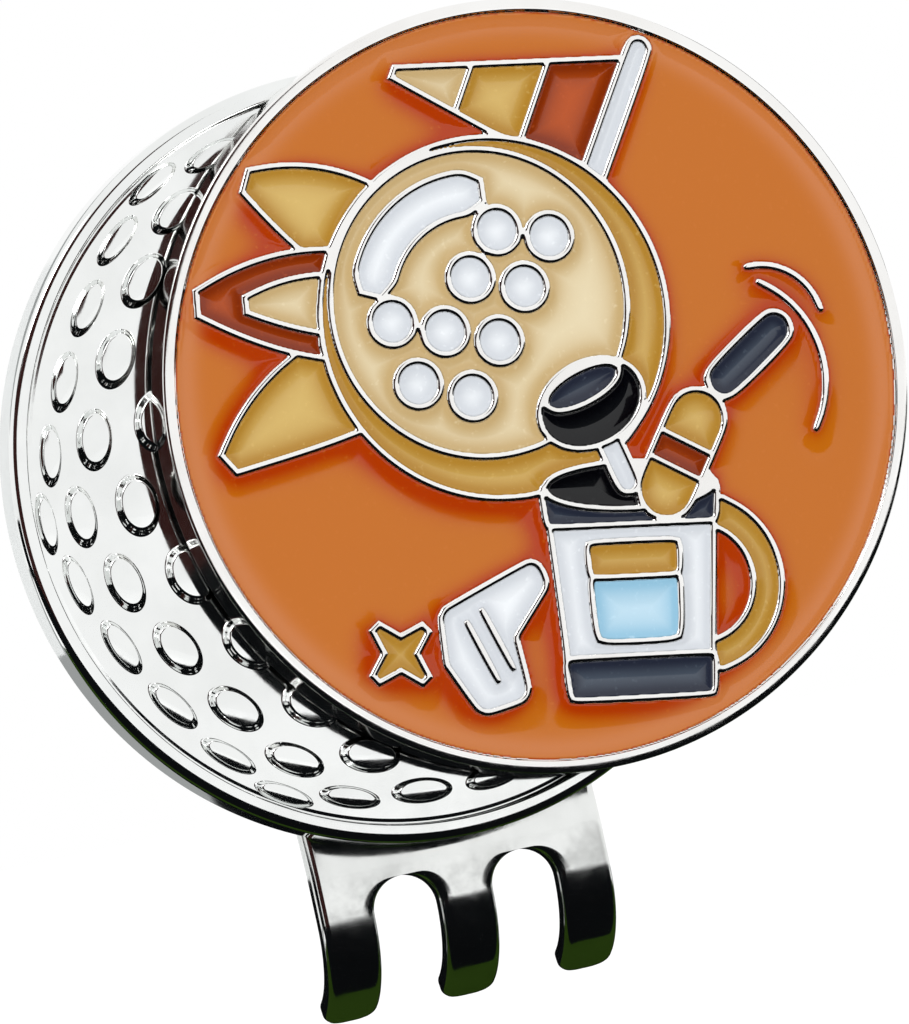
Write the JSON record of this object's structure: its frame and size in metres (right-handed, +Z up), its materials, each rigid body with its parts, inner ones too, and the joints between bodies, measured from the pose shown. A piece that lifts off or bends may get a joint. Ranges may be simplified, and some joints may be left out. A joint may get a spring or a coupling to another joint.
{
  "type": "golf ball marker with hat clip",
  "caption": "Round enamelled golf ball marker held by a magnet on a pip-patterned hat clip with a fingered spring at the back.",
  "frame": {"origin": "centre of the clip plate's flat back, the face that lies against a cap's brim", "axes": "-Y out of the face that carries the marker, +Z up along the clip away from the spring fingers, +X to the right as the marker is looked at"},
  "size_m": [0.0299, 0.0069, 0.0312],
  "materials": {
    "clip_plating": "bright nickel plate on zinc alloy",
    "spring_plating": "bright nickel plate on spring steel",
    "rivet_metal": "plain nickelled steel",
    "magnet_plating": "satin nickel plate",
    "glue": "set clear glue",
    "marker_plating": "bright nickel plate on die-struck iron",
    "enamel_orange": "glossy soft enamel",
    "enamel_ochre": "glossy soft enamel",
    "enamel_cream": "glossy soft enamel",
    "enamel_rust": "glossy soft enamel",
    "enamel_white": "glossy soft enamel",
    "enamel_slate": "glossy soft enamel",
    "enamel_black": "glossy soft enamel",
    "enamel_blue": "glossy soft enamel"
  },
  "bodies": {
    "clip": {"clip_plate": "clip_plating", "disc_magnet": "magnet_plating", "magnet_glue": "glue", "spring_root": "spring_plating", "rivet_left": "rivet_metal", "rivet_right": "rivet_metal"},
    "leaf": {"spring_leaf": "spring_plating"},
    "marker": {"marker_blank": "marker_plating", "bag_base_enamel": "enamel_slate", "bag_body_enamel": "enamel_white", "bag_cuff_enamel": "enamel_slate", "bag_cuff_enamel_2": "enamel_slate", "bag_flap_enamel": "enamel_ochre", "bag_mouth_enamel": "enamel_black", "bag_pocket_enamel": "enamel_blue", "bag_strap_enamel": "enamel_ochre", "ball_dimple_1_enamel": "enamel_white", "ball_dimple_2_enamel": "enamel_white", "ball_dimple_3_enamel": "enamel_white", "ball_dimple_4_enamel": "enamel_white", "ball_dimple_5_enamel": "enamel_white", "ball_dimple_6_enamel": "enamel_white", "ball_dimple_7_enamel": "enamel_white", "ball_dimple_8_enamel": "enamel_white", "ball_dimple_9_enamel": "enamel_white", "ball_face_enamel": "enamel_cream", "ball_glint_enamel": "enamel_white", "ball_shade_enamel": "enamel_ochre", "ball_shade_enamel_2": "enamel_ochre", "driver_head_enamel": "enamel_black", "driver_neck_enamel": "enamel_white", "driver_sole_enamel": "enamel_slate", "flag_hoist_enamel": "enamel_rust", "flag_middle_enamel": "enamel_ochre", "flag_staff_enamel": "enamel_white", "flag_tip_enamel": "enamel_cream", "ground_enamel": "enamel_orange", "ground_enamel_2": "enamel_orange", "headcover_band_enamel": "enamel_rust", "headcover_enamel": "enamel_ochre", "headcover_enamel_2": "enamel_ochre", "iron_blade_enamel": "enamel_white", "iron_grip_enamel": "enamel_slate", "sparkle_enamel": "enamel_ochre", "streak_core_enamel": "enamel_cream", "streak_lower_enamel": "enamel_ochre", "streak_middle_enamel": "enamel_rust", "streak_upper_enamel": "enamel_ochre"}
  },
  "joints": [
    {"name": "marker_lift", "type": "slide", "parent": "clip", "child": "marker", "axis": [0, -1, 0], "range_m": [0, 0.012]},
    {"name": "leaf_flex", "type": "hinge", "parent": "clip", "child": "leaf", "pos_m": [0, 0.00187, 0.0094], "axis": [1, 0, 0], "range_deg": [0, 10], "stiffness_Nm_per_rad": 0.45, "springref_deg": -5.73}
  ]
}
